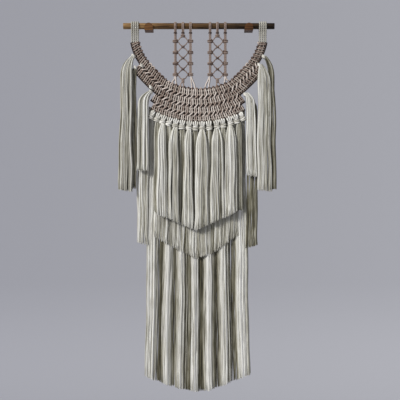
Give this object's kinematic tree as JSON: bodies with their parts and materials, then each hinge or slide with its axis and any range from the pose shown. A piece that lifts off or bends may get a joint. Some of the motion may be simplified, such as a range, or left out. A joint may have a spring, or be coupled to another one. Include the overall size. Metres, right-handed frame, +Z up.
{
  "type": "tapestry wall hanging",
  "caption": "Knotted wall hanging: a crescent of brown and cream macrame on a wooden dowel, with long cream tassels and fringes.",
  "frame": {"origin": "on the wall, midway between the two studs that hold the pegs", "axes": "+Z up, +Y into the wall, +X along the rod to the viewer's right"},
  "size_m": [0.646, 0.102, 1.5143],
  "materials": {
    "walnut": "oiled walnut",
    "screw_steel": "zinc plated",
    "brown_cord": "braided cord",
    "cream_rope": "twisted cotton rope",
    "silky_yarn": "silky yarn strands"
  },
  "bodies": {
    "wall_pegs": {"left_peg": "walnut", "right_peg": "walnut", "left_hanger_screw": "screw_steel", "right_hanger_screw": "screw_steel"},
    "rod": {"dowel_rod": "walnut"},
    "knotted_work": {"left_strap_ropes": "cream_rope", "right_strap_ropes": "cream_rope", "left_lattice_outer_cords": "brown_cord", "left_lattice_middle_cords": "brown_cord", "left_lattice_inner_cords": "brown_cord", "left_lattice_knots": "brown_cord", "right_lattice_outer_cords": "brown_cord", "right_lattice_middle_cords": "brown_cord", "right_lattice_inner_cords": "brown_cord", "right_lattice_knots": "brown_cord", "knotted_band_1": "brown_cord", "knotted_band_2": "brown_cord", "knotted_band_3": "brown_cord", "knotted_band_4": "brown_cord", "upper_cream_knots": "cream_rope", "lower_cream_wraps": "cream_rope"},
    "long_fringe": {"long_fringe_1": "silky_yarn", "long_fringe_2": "silky_yarn", "long_fringe_3": "silky_yarn", "long_fringe_4": "silky_yarn", "long_fringe_5": "silky_yarn", "long_fringe_6": "silky_yarn", "long_fringe_7": "silky_yarn"},
    "middle_fringe": {"back_tassel_1": "silky_yarn", "back_tassel_2": "silky_yarn", "back_tassel_3": "silky_yarn", "back_tassel_4": "silky_yarn", "back_tassel_5": "silky_yarn", "back_tassel_6": "silky_yarn", "back_tassel_7": "silky_yarn", "middle_fringe_1": "silky_yarn", "middle_fringe_2": "silky_yarn", "middle_fringe_3": "silky_yarn", "middle_fringe_4": "silky_yarn", "middle_fringe_5": "silky_yarn", "middle_fringe_6": "silky_yarn"},
    "left_side_fringe": {"left_side_fringe": "silky_yarn"},
    "right_side_fringe": {"right_side_fringe": "silky_yarn"},
    "left_inner_tassel": {"left_inner_tassel": "silky_yarn"},
    "right_inner_tassel": {"right_inner_tassel": "silky_yarn"},
    "left_upper_outer_tassel": {"left_upper_outer_tassel": "silky_yarn"},
    "left_lower_outer_tassel": {"left_lower_outer_tassel": "silky_yarn"},
    "right_upper_outer_tassel": {"right_upper_outer_tassel": "silky_yarn"},
    "right_lower_outer_tassel": {"right_lower_outer_tassel": "silky_yarn"},
    "front_tassel_1": {"front_tassel_1": "silky_yarn"},
    "front_tassel_2": {"front_tassel_2": "silky_yarn"},
    "front_tassel_3": {"front_tassel_3": "silky_yarn"},
    "front_tassel_4": {"front_tassel_4": "silky_yarn"},
    "front_tassel_5": {"front_tassel_5": "silky_yarn"},
    "front_tassel_6": {"front_tassel_6": "silky_yarn"}
  },
  "joints": [
    {"name": "rod_lift", "type": "slide", "parent": "wall_pegs", "child": "rod", "axis": [0, 0, 1], "range_m": [0, 0.06]},
    {"name": "hanging_swing", "type": "hinge", "parent": "rod", "child": "knotted_work", "pos_m": [0, -0.036, 0.008], "axis": [-1, 0, 0], "range_deg": [-0.5, 20]},
    {"name": "long_fringe_swing", "type": "hinge", "parent": "knotted_work", "child": "long_fringe", "pos_m": [0, -0.026, -0.428], "axis": [-1, 0, 0], "range_deg": [0, 7]},
    {"name": "middle_fringe_swing", "type": "hinge", "parent": "long_fringe", "child": "middle_fringe", "pos_m": [0, -0.042, -0.392], "axis": [-1, 0, 0], "range_deg": [0, 15]},
    {"name": "front_tassel_1_swing", "type": "hinge", "parent": "middle_fringe", "child": "front_tassel_1", "pos_m": [0, -0.0565, -0.39696], "axis": [-1, 0, 0], "range_deg": [0, 50]},
    {"name": "front_tassel_2_swing", "type": "hinge", "parent": "middle_fringe", "child": "front_tassel_2", "pos_m": [0, -0.0565, -0.41161], "axis": [-1, 0, 0], "range_deg": [0, 50]},
    {"name": "front_tassel_3_swing", "type": "hinge", "parent": "middle_fringe", "child": "front_tassel_3", "pos_m": [0, -0.0565, -0.42019], "axis": [-1, 0, 0], "range_deg": [0, 50]},
    {"name": "front_tassel_4_swing", "type": "hinge", "parent": "middle_fringe", "child": "front_tassel_4", "pos_m": [0, -0.0565, -0.42179], "axis": [-1, 0, 0], "range_deg": [0, 50]},
    {"name": "front_tassel_5_swing", "type": "hinge", "parent": "middle_fringe", "child": "front_tassel_5", "pos_m": [0, -0.0565, -0.41589], "axis": [-1, 0, 0], "range_deg": [0, 50]},
    {"name": "front_tassel_6_swing", "type": "hinge", "parent": "middle_fringe", "child": "front_tassel_6", "pos_m": [0, -0.0565, -0.40309], "axis": [-1, 0, 0], "range_deg": [0, 50]},
    {"name": "left_side_fringe_swing", "type": "hinge", "parent": "knotted_work", "child": "left_side_fringe", "pos_m": [0, -0.0335, -0.264], "axis": [-1, 0, 0], "range_deg": [0, 15]},
    {"name": "left_inner_tassel_swing", "type": "hinge", "parent": "left_side_fringe", "child": "left_inner_tassel", "pos_m": [0, -0.052, -0.267], "axis": [-1, 0, 0], "range_deg": [0, 50]},
    {"name": "right_side_fringe_swing", "type": "hinge", "parent": "knotted_work", "child": "right_side_fringe", "pos_m": [0, -0.0335, -0.264], "axis": [-1, 0, 0], "range_deg": [0, 15]},
    {"name": "right_inner_tassel_swing", "type": "hinge", "parent": "right_side_fringe", "child": "right_inner_tassel", "pos_m": [0, -0.052, -0.273], "axis": [-1, 0, 0], "range_deg": [0, 50]},
    {"name": "left_upper_outer_tassel_swing", "type": "hinge", "parent": "knotted_work", "child": "left_upper_outer_tassel", "pos_m": [0, -0.052, -0.119], "axis": [-1, 0, 0], "range_deg": [0, 60]},
    {"name": "left_lower_outer_tassel_swing", "type": "hinge", "parent": "knotted_work", "child": "left_lower_outer_tassel", "pos_m": [0, -0.052, -0.16], "axis": [-1, 0, 0], "range_deg": [0, 60]},
    {"name": "right_lower_outer_tassel_swing", "type": "hinge", "parent": "knotted_work", "child": "right_lower_outer_tassel", "pos_m": [0, -0.052, -0.158], "axis": [-1, 0, 0], "range_deg": [0, 60]},
    {"name": "right_upper_outer_tassel_swing", "type": "hinge", "parent": "knotted_work", "child": "right_upper_outer_tassel", "pos_m": [0, -0.052, -0.123], "axis": [-1, 0, 0], "range_deg": [0, 60]}
  ]
}
